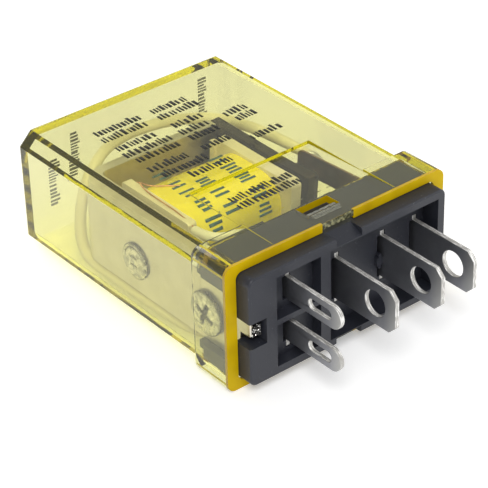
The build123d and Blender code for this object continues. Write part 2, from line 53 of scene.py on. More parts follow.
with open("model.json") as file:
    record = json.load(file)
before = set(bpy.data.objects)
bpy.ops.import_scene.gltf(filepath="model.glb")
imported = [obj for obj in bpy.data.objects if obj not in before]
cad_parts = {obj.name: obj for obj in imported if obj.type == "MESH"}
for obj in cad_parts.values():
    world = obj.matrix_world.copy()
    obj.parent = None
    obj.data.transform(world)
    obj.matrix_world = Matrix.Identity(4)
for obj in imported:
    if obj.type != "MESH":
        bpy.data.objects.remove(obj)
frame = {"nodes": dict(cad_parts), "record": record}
cad_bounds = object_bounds()
scene = bpy.context.scene
HOUSING = "housing"
ARMATURE = "armature"
X_AXIS, Y_AXIS, Z_AXIS = Vector((1, 0, 0)), Vector((0, 1, 0)), Vector((0, 0, 1))


def box_mm(name):
    """Lowest and highest corner of a CAD part, in millimetres."""
    return [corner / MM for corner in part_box(name)]


# ---- the cover's own places, in mm, as in the part's source ----
COVER_LOW, COVER_HIGH = box_mm("cover")
RIM_Y = COVER_LOW.y
SKIRT_LENGTH = 4.9
SKIRT_END = RIM_Y + SKIRT_LENGTH
SKIRT_CORNER = 1.0
SKIRT_PROUD = 0.25
PANEL_LENGTH = 13.0
PANEL_END = RIM_Y + PANEL_LENGTH
PANEL_HALF = 7.6
PANEL_DROP = 0.65      # how far the recessed panel slopes down, from the rim to its end
WINDOW_HALF = 1.95
WINDOW_Y = (3.8, 5.65)
RIM_INNER = (12.45, 6.05)
RIM_INNER_CORNER = 0.73
INSET = 0.01           # skins stay this far inside the CAD surface
NEAR = 0.01            # places closer than this count as the same


def panel_height(y):
    """Height of the cover's recessed panel above the middle, at a place along the plug axis."""
    return COVER_HIGH.z - PANEL_DROP * (y - RIM_Y) / PANEL_LENGTH


# ---- node helpers ----
NOISE_ROUGHNESS = 0.55
MIX_A, MIX_B, MIX_RESULT = 6, 7, 2     # the colour sockets of a mix node


class Shader:
    """A material's node tree, with short calls for the nodes that the materials share."""

    def __init__(self, name):
        self.material = bpy.data.materials.new(name)
        self.material.use_nodes = True
        self.tree = self.material.node_tree
        self.bsdf = self.tree.nodes["Principled BSDF"]
        self.output = self.tree.nodes["Material Output"]
        self._mm = None

    def node(self, kind, **settings):
        """A new node of a kind, with its settings."""
        made = self.tree.nodes.new(kind)
        for key, value in settings.items():
            setattr(made, key, value)
        return made

    def link(self, source, target):
        self.tree.links.new(source, target)

    def mm(self):
        """Object coordinates in millimetres, in the shared frame."""
        if self._mm is None:
            coordinates = self.node("ShaderNodeTexCoord")
            scaled = self.node("ShaderNodeVectorMath", operation="SCALE")
            scaled.inputs["Scale"].default_value = 1 / MM
            self.link(coordinates.outputs["Object"], scaled.inputs[0])
            self._mm = scaled.outputs[0]
        return self._mm

    def stretched(self, factors):
        """Millimetre coordinates times a factor along each axis, for directional grain."""
        product = self.node("ShaderNodeVectorMath", operation="MULTIPLY")
        product.inputs[1].default_value = factors
        self.link(self.mm(), product.inputs[0])
        return product.outputs[0]

    def noise(self, per_mm, detail=3.0, vector=None):
        """Cloudy noise in 0..1, with so many waves to a millimetre."""
        made = self.node("ShaderNodeTexNoise")
        made.inputs["Scale"].default_value = per_mm
        made.inputs["Detail"].default_value = detail
        made.inputs["Roughness"].default_value = NOISE_ROUGHNESS
        self.link(vector or self.mm(), made.inputs["Vector"])
        return made.outputs["Fac"]

    def ramp(self, value, *stops):
        """Map a value through (position, grey or colour) stops."""
        made = self.node("ShaderNodeValToRGB")
        elements = made.color_ramp.elements
        while len(elements) < len(stops):
            elements.new(0.5)
        for element, (position, colour) in zip(elements, stops):
            element.position = position
            if isinstance(colour, (int, float)):
                colour = (colour, colour, colour)
            element.color = (*colour, 1)
        self.link(value, made.inputs["Fac"])
        return made.outputs["Color"]

    def mix(self, factor, a, b):
        """Mix two colours, each a socket or three numbers."""
        made = self.node("ShaderNodeMix", data_type="RGBA")
        self._feed(made.inputs["Factor"], factor)
        self._feed(made.inputs[MIX_A], a)
        self._feed(made.inputs[MIX_B], b)
        return made.outputs[MIX_RESULT]

    def math(self, operation, a, b=0.0):
        made = self.node("ShaderNodeMath", operation=operation)
        self._feed(made.inputs[0], a)
        self._feed(made.inputs[1], b)
        return made.outputs[0]

    def span(self, value, low, high):
        """Map 0..1 to low..high."""
        made = self.node("ShaderNodeMapRange")
        made.inputs["To Min"].default_value = low
        made.inputs["To Max"].default_value = high
        self.link(value, made.inputs["Value"])
        return made.outputs["Result"]

    def depth(self, axis, low, high):
        """0..1 as the place along an axis goes from low to high, in millimetres."""
        split = self.node("ShaderNodeSeparateXYZ")
        self.link(self.mm(), split.inputs[0])
        made = self.node("ShaderNodeMapRange")
        made.inputs["From Min"].default_value = low
        made.inputs["From Max"].default_value = high
        self.link(split.outputs[axis], made.inputs["Value"])
        return made.outputs["Result"]

    def _feed(self, target, value):
        if isinstance(value, bpy.types.NodeSocket):
            self.link(value, target)
        elif isinstance(value, tuple):
            target.default_value = (*value, 1) if len(target.default_value) == 4 else value
        else:
            target.default_value = value

    def set(self, **inputs):
        """Set inputs of the Principled shader by name, with underscores for spaces."""
        for key, value in inputs.items():
            self._feed(self.bsdf.inputs[key.replace("_", " ")], value)

    def bump(self, height, depth_mm):
        """Relief of a surface, from 0..1 heights and the depth that they stand for."""
        made = self.node("ShaderNodeBump")
        made.inputs["Distance"].default_value = depth_mm * MM
        self.link(height, made.inputs["Height"])
        self.link(made.outputs["Normal"], self.bsdf.inputs["Normal"])


# ---- materials ----
def polycarbonate():
    """Clear pale yellow plastic: the colour is absorbed along the light's path through it."""
    s = Shader("cover_polycarbonate")
    marks = s.noise(0.35, detail=4.0)
    s.set(
        Base_Color=s.mix(s.span(marks, 0.0, 0.3), (0.88, 0.875, 0.83), (0.85, 0.845, 0.78)),
        Roughness=s.span(marks, 0.012, 0.035),
        IOR=1.58,
        Transmission_Weight=0.99,
        Specular_IOR_Level=0.2,
    )
    s.bump(s.noise(0.25, detail=1.0), 0.012)
    lamps = s.node("ShaderNodeLightPath")
    through = s.node("ShaderNodeBsdfTransparent")
    through.inputs["Color"].default_value = (0.97, 0.97, 0.92, 1)
    shader = s.node("ShaderNodeMixShader")
    s.link(lamps.outputs["Is Shadow Ray"], shader.inputs["Fac"])
    s.link(s.bsdf.outputs["BSDF"], shader.inputs[1])
    s.link(through.outputs["BSDF"], shader.inputs[2])
    s.link(shader.outputs["Shader"], s.output.inputs["Surface"])
    tint = s.node("ShaderNodeVolumeAbsorption")
    tint.inputs["Color"].default_value = (0.935, 0.91, 0.0, 1)
    tint.inputs["Density"].default_value = 260.0
    s.link(tint.outputs["Volume"], s.output.inputs["Volume"])
    return s.material


def painted_glow_material(name, dark, light):
    """The cover's cut faces, with painted glow for the yellow light that gathers in them:
    saturated, cloudy and satin.
    """
    s = Shader(name)
    cloud = s.noise(0.35, detail=2.0)
    fine = s.noise(6.0, detail=2.0)
    s.set(
        Base_Color=s.ramp(cloud, (0.3, dark), (0.75, light)),
        Roughness=s.span(fine, 0.4, 0.6),
        Specular_IOR_Level=0.12,
    )
    s.bump(fine, 0.006)
    return s.material


def painted_view_through():
    """Clear rim below a window: olive, flecked pale and dark with painted light and shade of what
    shows through it.
    """
    s = Shader("clear_rim")
    flecks = s.ramp(s.noise(2.2, detail=4.0), (0.46, 0.0), (0.62, 1.0))
    s.set(
        Base_Color=s.mix(flecks, (0.06, 0.06, 0.03), (0.36, 0.35, 0.18)),
        Roughness=s.span(flecks, 0.25, 0.4),
    )
    return s.material


LIGHTER_TIP = 2.0         # length of blade that gets lighter towards its tip, in mm


def plated_blade():
    """Tinned strip: dull rolled faces, lighter towards the tips, and bright sheared edges."""
    s = Shader("blade_tin")
    streaks = s.noise(1.0, detail=4.0, vector=s.stretched((6, 0.5, 6)))
    patches = s.ramp(s.noise(0.5, detail=5.0), (0.35, 0.0), (0.75, 1.0))
    face = s.mix(patches, (0.33, 0.335, 0.36), (0.27, 0.275, 0.30))
    tip_y = box_mm("com_terminal")[0].y
    # the faces get lighter towards the tips
    worn = s.ramp(s.depth("Y", tip_y, tip_y + LIGHTER_TIP), (0.1, 1.0), (0.8, 0.0))
    face = s.mix(worn, face, (0.46, 0.46, 0.45))
    geometry = s.node("ShaderNodeNewGeometry")
    normal = s.node("ShaderNodeSeparateXYZ")
    s.link(geometry.outputs["True Normal"], normal.inputs[0])
    flat = s.math("GREATER_THAN", s.math("ABSOLUTE", normal.outputs["X"]), 0.8)
    tears = s.noise(1.0, vector=s.stretched((9, 1.2, 1.2)))
    torn = s.ramp(tears, (0.42, 0.0), (0.5, 1.0))
    cut = s.mix(torn, (0.92, 0.91, 0.88), (0.50, 0.49, 0.46))
    s.set(
        Base_Color=s.mix(flat, cut, face),
        Metallic=s.span(flat, 0.55, 1.0),
        Roughness=s.span(streaks, 0.42, 0.52),
    )
    s.bump(streaks, 0.0003)
    return s.material


def moulded(name, colour, spread, roughness, grain_mm, grain_depth, dust=None):
    """Opaque moulded plastic with fine grain, faint cloudy variation and, if given, dust."""
    s = Shader(name)
    cloud = s.noise(0.5, detail=5.0)
    fine = s.noise(1 / grain_mm, detail=2.0)
    light = tuple(c * (1 + spread) for c in colour)
    dark = tuple(c * (1 - spread) for c in colour)
    body = s.mix(cloud, dark, light)
    if dust:
        body = s.mix(s.ramp(s.noise(4.5, detail=2.0), (0.68, 0.0), (0.74, 1.0)), body, dust)
    s.set(Base_Color=body, Roughness=s.span(fine, *roughness))
    s.bump(fine, grain_depth)
    return s.material


def metal(name, colour, tarnish, roughness, grain, depth):
    """Rolled or plated metal: streaks along one axis, tarnish in soft patches."""
    s = Shader(name)
    streaks = s.noise(1.0, detail=4.0, vector=s.stretched(grain))
    patches = s.ramp(s.noise(0.45, detail=5.0), (0.35, 0.0), (0.75, 1.0))
    s.set(
        Base_Color=s.mix(patches, colour, tarnish),
        Metallic=1.0,
        Roughness=s.span(streaks, *roughness),
    )
    s.bump(streaks, depth)
    return s.material


def struck_metal(name, colour, shade, node_name, face_mm, hollow_mm):
    """Metal with painted shade that darkens its struck or cut hollows and all that lies behind
    them.

    The hollows face -X: they start face_mm in from the CAD part's end and are hollow_mm deep.
    """
    s = Shader(name)
    top = box_mm(node_name)[0].x + face_mm
    hollow = s.depth("X", top, top + hollow_mm)
    mottle = s.ramp(s.noise(1.9, detail=4.0), (0.40, 0.0), (0.60, 1.0))
    dulled = tuple(0.55 * c for c in colour)
    worn = s.mix(mottle, colour, dulled)
    s.set(
        # painted shade: the colour turns to the shade colour with depth along -X, into the hollows
        # and over the head's side
        Base_Color=s.mix(s.ramp(hollow, (0.30, 0.0), (0.75, 1.0)), worn, shade),
        Metallic=1.0,
        Roughness=s.span(mottle, 0.16, 0.34),
    )
    s.bump(s.noise(5.0, detail=3.0), 0.01)
    return s.material


def fractured_metal():
    """Torn end of the tab: dark metal with bright flecks."""
    s = Shader("tab_fracture")
    flecks = s.ramp(s.noise(5.5, detail=2.0), (0.56, 0.0), (0.61, 1.0))
    s.set(
        Base_Color=s.mix(flecks, (0.03, 0.028, 0.026), (0.95, 0.94, 0.90)),
        Metallic=1.0,
        Roughness=s.span(flecks, 0.45, 0.15),
    )
    return s.material


# colour, share that it varies by, roughness, grain and its depth in mm, dust
PLASTICS = {
    "base_plastic": ((0.020, 0.022, 0.031), 0.14, (0.36, 0.5), 0.09, 0.008, (0.075, 0.08, 0.09)),
    "bobbin_plastic": ((0.80, 0.74, 0.60), 0.05, (0.3, 0.42), 0.2, 0.005),
    "coil_tape": ((1.0, 0.86, 0.0), 0.04, (0.2, 0.32), 0.7, 0.012),
    "carrier_plastic": ((0.028, 0.025, 0.022), 0.15, (0.4, 0.55), 0.1, 0.01),
    "lead_sleeve": ((0.84, 0.79, 0.58), 0.06, (0.4, 0.5), 0.15, 0.006),
    "coil_sleeve": ((0.85, 0.83, 0.76), 0.05, (0.5, 0.65), 0.12, 0.015),
    "print_ink": ((0.012, 0.012, 0.010), 0.3, (0.5, 0.7), 0.1, 0.002),
    # pale ridges: lighter than the plastic round them
    "pale_ridge": ((0.58, 0.58, 0.48), 0.3, (0.2, 0.35), 0.1, 0.004),
    "tape_ink": ((0.010, 0.11, 0.13), 0.25, (0.35, 0.5), 0.15, 0.002),
}
# colour, tarnish, roughness, streaks to a mm along each axis, their depth in mm
METALS = {
    "yoke_nickel": ((0.82, 0.78, 0.68), (0.70, 0.66, 0.56), (0.25, 0.42), (4, 0.4, 4), 0.005),
    "screw_steel": ((0.70, 0.68, 0.64), (0.55, 0.52, 0.48), (0.2, 0.35), (2, 2, 2), 0.004),
    "core_iron": ((0.55, 0.53, 0.50), (0.42, 0.40, 0.37), (0.3, 0.45), (1, 5, 5), 0.005),
    "copper": ((0.80, 0.42, 0.25), (0.55, 0.26, 0.15), (0.25, 0.4), (6, 1, 1), 0.01),
    "armature_steel": ((0.06, 0.045, 0.03), (0.035, 0.028, 0.02), (0.3, 0.5), (3, 3, 3), 0.006),
    "spring_bronze": ((0.50, 0.34, 0.22), (0.34, 0.22, 0.15), (0.22, 0.4), (0.5, 6, 6), 0.004),
    "rivet_brass": ((0.72, 0.56, 0.30), (0.52, 0.40, 0.22), (0.25, 0.4), (3, 3, 3), 0.004),
    "contact_silver": ((0.88, 0.87, 0.84), (0.70, 0.68, 0.62), (0.18, 0.32), (3, 3, 3), 0.004),
    "solder": ((0.78, 0.77, 0.74), (0.60, 0.58, 0.54), (0.2, 0.4), (2, 2, 2), 0.01),
}
materials = {"cover_polycarbonate": polycarbonate(), "blade_tin": plated_blade()}
materials |= {name: moulded(name, *looks) for name, looks in PLASTICS.items()}
materials |= {name: metal(name, *looks) for name, looks in METALS.items()}
# the second colour of each is the painted shade in the hollows
screw_face = struck_metal(
    "screw_face", (0.92, 0.90, 0.84), (0.05, 0.045, 0.035), "yoke_screw", 0.0, 0.40
)
stake_face = struck_metal(
    "stake_face", (0.86, 0.83, 0.74), (0.06, 0.05, 0.035), "core", -0.15, 0.19
)
fracture = fractured_metal()
# painted glow: gold colours that stand in for the yellow light gathered in the cover's rim and
# window walls
painted_rim_glow = painted_glow_material("painted_rim_glow", (0.52, 0.34, 0.0), (0.66, 0.46, 0.0))
# painted glow: gold colours that stand in for the light gathered along the panel edges and skirt
# corners
painted_line_glow = painted_glow_material("painted_line_glow", (0.56, 0.47, 0.0), (0.78, 0.68, 0.01))
# painted light and shade: the clear rim below each window shows what lies behind it as painted
# flecks
clear_rim = painted_view_through()

# ---- CAD parts: their materials and rounded edges ----
WELD_REACH = 0.0001    # joins the CAD mesh's doubled points, in mm
BEVEL_SEGMENTS = 2
BEVEL_ANGLE = radians(32)
EDGE_WIDTHS = (
    (0.12, ("cover",)),
    (0.08, ("base", "yoke", "bobbin", "armature", "contact_carrier")),
    (0.05, ("com_terminal", "no_terminal", "nc_terminal")),
    (0.05, ("coil_terminal_a", "coil_terminal_b")),
)
edges = {name: width for width, names in EDGE_WIDTHS for name in names}


def soften(piece, width_mm):
    """Weld a CAD mesh and round its edges, so that they catch the light as real ones do."""
    weld = piece.modifiers.new("weld", "WELD")
    weld.merge_threshold = WELD_REACH * MM
    bevel = piece.modifiers.new("edges", "BEVEL")
    bevel.width = width_mm * MM
    bevel.segments = BEVEL_SEGMENTS
    bevel.limit_method = "ANGLE"
    bevel.angle_limit = BEVEL_ANGLE
    bevel.use_clamp_overlap = True
    bevel.harden_normals = True


for entry in frame["record"]["subparts"]:
    node = frame["nodes"][entry["node"]]
    node.data.materials.clear()
    node.data.materials.append(materials[entry["material_slot"]])
    if entry["node"] in edges:
        soften(node, edges[entry["node"]])


# ---- mesh helpers for the added pieces ----
def add_piece(name, mesh, slot, body=HOUSING, material=None, smooth=True):
    """Put a finished mesh in the scene as a piece that rides on a body."""
    mesh.materials.append(material or materials[slot])
    for face in mesh.polygons:
        face.use_smooth = smooth
    piece = bpy.data.objects.new(name, mesh)
    scene.collection.objects.link(piece)
    if body:
        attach(piece, body)
    return piece


def add_built(name, built, slot, **how):
    """Turn a bmesh, drawn in millimetres, into a piece."""
    bmesh.ops.recalc_face_normals(built, faces=built.faces[:])
    bmesh.ops.scale(built, vec=(MM, MM, MM), verts=built.verts[:])
    mesh = bpy.data.meshes.new(name)
    built.to_mesh(mesh)
    built.free()
    return add_piece(name, mesh, slot, **how)


def add_skin(name, built, material):
    """A flat-faced skin on the cover."""
    add_built(name, built, "cover_polycarbonate", material=material, smooth=False)


def ring_skin(built, rings):
    """Join rings of equally many points into a skin; a ring of one point closes an end."""
    rows = [[built.verts.new(point) for point in ring] for ring in rings]
    for low, high in zip(rows, rows[1:]):
        count = max(len(low), len(high))
        for i in range(count):
            j = (i + 1) % count
            corners = [low[i % len(low)], low[j % len(low)]]
            corners += [high[j % len(high)], high[i % len(high)]]
            built.faces.new(list(dict.fromkeys(corners)))


def add_prism(built, start, end):
    """Closed solid between two outlines with equally many points."""
    near, far = [[built.verts.new(place) for place in outline] for outline in (start, end)]
    built.faces.new(near)
    built.faces.new(far[::-1])
    for i in range(len(near)):
        j = (i + 1) % len(near)
        built.faces.new((near[i], near[j], far[j], far[i]))


def square(half_a, half_b):
    """The four corners of a rectangle round zero, in order."""
    return [(a * half_a, b * half_b) for a, b in ((-1, -1), (1, -1), (1, 1), (-1, 1))]


def tube(name, route_mm, radius_mm):
    """A mesh tube round a smooth NURBS line with the route's points as its control points."""
    curve = bpy.data.curves.new(name, "CURVE")
    curve.dimensions = "3D"
    curve.bevel_depth = radius_mm * MM
    curve.bevel_resolution = 5
    curve.use_fill_caps = True
    spline = curve.splines.new("NURBS")
    spline.points.add(len(route_mm) - 1)
    for point, place in zip(spline.points, route_mm):
        point.co = (*(Vector(place) * MM), 1)
    spline.order_u = 3
    spline.use_endpoint_u = True
    spline.resolution_u = 10
    drawn = bpy.data.objects.new(name + "_line", curve)
    scene.collection.objects.link(drawn)
    bpy.context.view_layer.update()
    evaluated = drawn.evaluated_get(bpy.context.evaluated_depsgraph_get())
    mesh = bpy.data.meshes.new_from_object(evaluated)
    mesh.name = name
    bpy.data.objects.remove(drawn)
    bpy.data.curves.remove(curve)
    return mesh


def smoothstep(value, low, high):
    """0 below low, 1 above high, and an even ease between them."""
    share = min(1.0, max(0.0, (value - low) / (high - low)))
    return share * share * (3 - 2 * share)


# ---- screw with its cross recess ----
HEAD_SEGMENTS = 96
HEAD_RINGS = 44
HEAD_DOME = 0.12
HEAD_FACE = 0.19       # where the head's face starts, from the CAD head's face
HEAD_SEAT = 0.62       # its underside, from the same place
FACE_BORDER = 0.16     # the face ends this far inside the head's radius
HEAD_EDGE = ((0.05, 0.05), (0.0, 0.16))    # then its side: in from the radius, behind the face
HEAD_FOOT = ((0.02, -0.03), (0.08, 0.0))   # in from the radius, behind the seat
RECESS_REACH = 1.40
RECESS_HALF = 0.34
RECESS_DEPTH = 0.42
RECESS_RUNOUT = 0.22   # length of the slope at the end of each slot
RECESS_SLOPE = 0.10    # width of the slope along its sides
RECESS_RISE = 0.35     # share of its depth that it loses towards the ends
RECESS_TURN = radians(24)
BURR_HEIGHT = 0.07
BURR_RISE = (-0.02, 0.04)      # where the burr starts and ends, out from the slot's side
BURR_FALL = (0.06, 0.16)
BURR_WAVES = (9, 14)           # how fast its height ripples, round the head and outwards
SHANK_R = 1.0
THREAD_TURNS = 14
THREAD_START = 1.3     # first turn, from the seat
THREAD_STEP = 0.17     # half the pitch
THREAD_DEPTH = 0.10
POINT_R = 0.6
POINT_LENGTH = 0.1


def screw_height(radius, angle, head_radius):
    """Height of the head's face above its rim: a low dome, a cross recess and a raised burr."""
    dome = HEAD_DOME * (1 - (radius / head_radius) ** 2)
    turned = angle - RECESS_TURN
    across = min(abs(radius * sin(turned)), abs(radius * cos(turned)))
    reach = 1 - smoothstep(radius, RECESS_REACH - RECESS_RUNOUT, RECESS_REACH)
    recess = (1 - smoothstep(across, RECESS_HALF - RECESS_SLOPE, RECESS_HALF)) * reach
    recess *= 1 - RECESS_RISE * radius / RECESS_REACH
    burr = smoothstep(across, *(RECESS_HALF + edge for edge in BURR_RISE))
    burr *= (1 - smoothstep(across, *(RECESS_HALF + edge for edge in BURR_FALL))) * reach
    ripple = 0.5 + 0.5 * sin(BURR_WAVES[0] * turned + BURR_WAVES[1] * radius)
    return dome - RECESS_DEPTH * recess + BURR_HEIGHT * burr * ripple


def make_screw():
    """Pan-head screw, with its recess and its thread, in the CAD screw's place."""
    low, high = box_mm("yoke_screw")
    y, z = (low.y + high.y) / 2, (low.z + high.z) / 2
    head_radius = (high.y - low.y) / 2
    face_radius = head_radius - FACE_BORDER
    face_x = low.x + HEAD_FACE
    seat_x = low.x + HEAD_SEAT
    angles = [2 * pi * i / HEAD_SEGMENTS for i in range(HEAD_SEGMENTS)]

    def ring(radius, x):
        return [(x, y + radius * cos(a), z + radius * sin(a)) for a in angles]

    rings = [[(face_x - screw_height(0, 0, head_radius), y, z)]]
    for step in range(1, HEAD_RINGS + 1):
        radius = face_radius * step / HEAD_RINGS
        heights = [screw_height(radius, a, head_radius) for a in angles]
        level = ring(radius, face_x)
        rings.append([(px - height, py, pz) for height, (px, py, pz) in zip(heights, level)])
    rings += [ring(head_radius - inward, face_x + behind) for inward, behind in HEAD_EDGE]
    rings += [ring(head_radius - inward, seat_x + behind) for inward, behind in HEAD_FOOT]
    rings.append(ring(SHANK_R, seat_x))
    for turn in range(THREAD_TURNS):
        thread_x = seat_x + THREAD_START + THREAD_STEP * turn
        rings.append(ring(SHANK_R - THREAD_DEPTH * (turn % 2), thread_x))
    rings.append(ring(POINT_R, high.x - POINT_LENGTH))
    rings.append([(high.x, y, z)])
    built = bmesh.new()
    ring_skin(built, rings)
    screw = add_built("pan_head_screw", built, "screw_steel", material=screw_face)
    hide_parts("yoke_screw")


make_screw()

# ---- staked end of the core, with the tool's marks ----
STAKE_R = 1.98
STAKE_SEGMENTS = 112
STAKE_RINGS = 46
STAKE_FACE = -0.02     # rim of its face, from the core's end
STAKE_BACK = 0.08
STAKE_ROUND = 0.28     # width of its rounded rim
STRUCK_DEPTH = 0.13
STRUCK_Z = (0.42, -0.48)       # the two struck lines
STRUCK_SIDE = (0.05, 0.13)     # their floor's half width, and their mouth's
STRUCK_Y = 0.15
STRUCK_END = (0.5, 0.62)
GROOVE_IN = 0.42       # the groove inside the rim
GROOVE_SIDE = (0.04, 0.14)
GROOVE_FADE = (-0.9, 0.6)      # it fades in across the face, on a slant
GROOVE_SLANT = 0.4
NICK_IN = 0.25         # the nicks, in from the rim
NICK_Z = (-1.05, -0.25, 0.6)
NICK_R = (0.1, 0.24)
NICK_DEPTH = 0.16
LIP_R = 0.3            # the raised lip round each nick
LIP_SIDE = (0.05, 0.14)
LIP_HEIGHT = 0.08


def stake_height(y, z, radius):
    """Face of the staked end: a rounded rim, struck lines, a groove and nicks."""
    height = STRUCK_DEPTH * (1 - smoothstep(radius, STAKE_R - STAKE_ROUND, STAKE_R))
    for line_z in STRUCK_Z:
        struck = 1 - smoothstep(abs(z - line_z), *STRUCK_SIDE)
        struck *= 1 - smoothstep(abs(y - STRUCK_Y), *STRUCK_END)
        height -= STRUCK_DEPTH * struck
    groove = 1 - smoothstep(abs(radius - STAKE_R + GROOVE_IN), *GROOVE_SIDE)
    height -= STRUCK_DEPTH * groove * smoothstep(z + GROOVE_SLANT * y, *GROOVE_FADE)
    for nick_z in NICK_Z:
        away = ((y + STAKE_R - NICK_IN) ** 2 + (z - nick_z) ** 2) ** 0.5
        height += LIP_HEIGHT * (1 - smoothstep(abs(away - LIP_R), *LIP_SIDE))
        height -= NICK_DEPTH * (1 - smoothstep(away, *NICK_R))
    return height


def make_stake():
    """Staked end of the core, where it stands out of the yoke plate."""
    low, high = box_mm("core")
    centre_y, centre_z = (low.y + high.y) / 2, (low.z + high.z) / 2
    angles = [2 * pi * i / STAKE_SEGMENTS for i in range(STAKE_SEGMENTS)]
    front_x, back_x = low.x + STAKE_FACE, low.x + STAKE_BACK
    rings = [[(front_x - stake_height(0, 0, 0), centre_y, centre_z)]]
    for step in range(1, STAKE_RINGS + 1):
        radius = STAKE_R * step / STAKE_RINGS
        points = []
        for a in angles:
            y, z = radius * cos(a), radius * sin(a)
            points.append((front_x - stake_height(y, z, radius), centre_y + y, centre_z + z))
        rings.append(points)
    rings.append([(back_x, py, pz) for _, py, pz in rings[-1]])
    rings.append([(back_x, centre_y, centre_z)])
    built = bmesh.new()
    ring_skin(built, rings)
    add_built("core_stake", built, "core_iron", material=stake_face)


make_stake()

# ---- leads: the same points as in the part's source ----
LEAD_R = 0.6
COIL_SLEEVE_R = 0.5
FLEX_ROUTE = (
    (8.82, 15.0, 3.3),
    (8.76, 19.0, 3.3),
    (8.5, 24.0, 3.1),
    (7.2, 29.0, 2.9),
    (2.6, 31.6, 3.2),
    (-3.6, 31.7, 3.6),
    (-8.0, 30.6, 2.4),
    (-10.3, 29.2, -1.6),
    (-11.1, 27.6, -4.75),
    (-11.15, 23.0, -4.87),
    (-11.1, 16.0, -4.83),
    (-10.9, 9.4, -4.86),
    (-8.2, 7.8, -4.88),
    (-3.2, 7.7, -4.8),
    (0.1, 7.7, -2.3),
)
COIL_LEADS = (("coil_lead_a", 1, 4.55), ("coil_lead_b", -1, -3.72))


def make_leads():
    """The three leads along their routes."""
    mesh = tube("flexible_sleeve", FLEX_ROUTE, LEAD_R)
    flexible = add_piece("flexible_sleeve", mesh, "lead_sleeve", body=None)
    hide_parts("flexible_lead")
    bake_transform(flexible)
    for name, side, z_out in COIL_LEADS:
        route = (
            (-9.3, 11.8, side * 3.9),
            (-9.7, 8.9, z_out),
            (-7.9, 7.75, z_out + side * 0.1),
            (-5.0, 7.85, side * 3.6),
            (-5.94, 8.6, side * 2.4),
        )
        sleeve = add_piece(name + "_sleeve", tube(name, route, COIL_SLEEVE_R), "coil_sleeve")
        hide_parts(name)


make_leads()

# ---- solder joints: name, centre, half sizes, body and seed of the wrinkles ----
SOLDER_JOINTS = (
    ("leaf_solder", (8.62, 14.9, 3.3), (0.62, 1.2, 0.85), ARMATURE, 3),
    ("com_solder", (0.1, 7.75, -1.9), (0.7, 0.75, 0.75), HOUSING, 5),
    ("coil_solder_a", (-6.35, 8.5, 2.4), (0.6, 0.6, 0.65), HOUSING, 8),
    ("coil_solder_b", (-6.35, 8.5, -2.4), (0.6, 0.6, 0.65), HOUSING, 13),
)
SOLDER_WAVES = 6
SOLDER_SWELL = 0.045
WAVE_REACH = 3
WAVE_PHASE = 6


def solder_joint(name, centre, size, body, seed):
    """A cooled drop of solder: a drop flattened on its seat, with a wrinkled skin."""
    built = bmesh.new()
    bmesh.ops.create_icosphere(built, subdivisions=4, radius=1)
    draw = random.Random(seed)
    waves = []
    for _ in range(SOLDER_WAVES):
        wave = Vector([draw.uniform(-WAVE_REACH, WAVE_REACH) for _ in range(3)])
        waves.append((wave, draw.uniform(0, WAVE_PHASE)))
    for vertex in built.verts:
        swell = sum(sin(wave.dot(vertex.co) + phase) for wave, phase in waves)
        direction = vertex.co * (1 + SOLDER_SWELL * swell)
        vertex.co = Vector(centre) + Vector([d * r for d, r in zip(direction, size)])
    add_built(name, built, "solder", body=body)


for joint in SOLDER_JOINTS:
    solder_joint(*joint)

# ---- winding ends: enamelled wire, one over the flange onto the tape and one down the flange ----
WIRE_R = 0.07
WIRE_ROUTES = (
    (
        (-8.6, 22.6, 4.0),
        (-8.75, 21.6, 4.75),
        (-8.2, 20.4, 4.5),
        (-7.0, 19.6, 4.44),
        (-5.8, 18.6, 4.44),
    ),
    (
        (-8.7, 21.3, 4.72),
        (-9.2, 20.2, 4.75),
        (-9.3, 17.2, 4.74),
        (-9.3, 13.6, 4.74),
        (-9.3, 11.9, 4.2),
    ),
)
for number, wire_route in enumerate(WIRE_ROUTES, start=1):
    wire_name = f"winding_end_{number}"
    add_piece(wire_name, tube(wire_name, wire_route, WIRE_R), "copper")

# ---- skins of painted glow on the cover's cut faces: the open rim and the walls of its windows ----
SKIN_T = 0.015
SKIN_GAP = 0.002       # from a skin to the CAD face behind it
RIM_GLOW = 0.3         # how far the painted glow reaches into the rim
CORNER_STEPS = 8
CLEAR_STEP = 0.3       # where the clear rim starts, out from the rim's inner edge


def rounded_loop(half_x, half_z, corner):
    """Corner-rounded rectangle as points, starting with the corner at +x, +z."""
    points = []
    for sx, sz, start in ((1, 1, 0), (-1, 1, 90), (-1, -1, 180), (1, -1, 270)):
        for step in range(CORNER_STEPS + 1):
            turn = radians(start + 90 * step / CORNER_STEPS)
            x = sx * (half_x - corner) + corner * cos(turn)
            points.append((x, sz * (half_z - corner) + corner * sin(turn)))
    return points


def cut_at_window(loop):
    """The loop with extra points where the window's sides cross its two long runs."""
    cut = []
    for here, after in zip(loop, loop[1:] + loop[:1]):
        cut.append(here)
        if abs(here[0] - after[0]) > 4 * WINDOW_HALF:
            step = WINDOW_HALF if after[0] > here[0] else -WINDOW_HALF
            cut += [(-step, here[1]), (step, here[1])]
    return cut


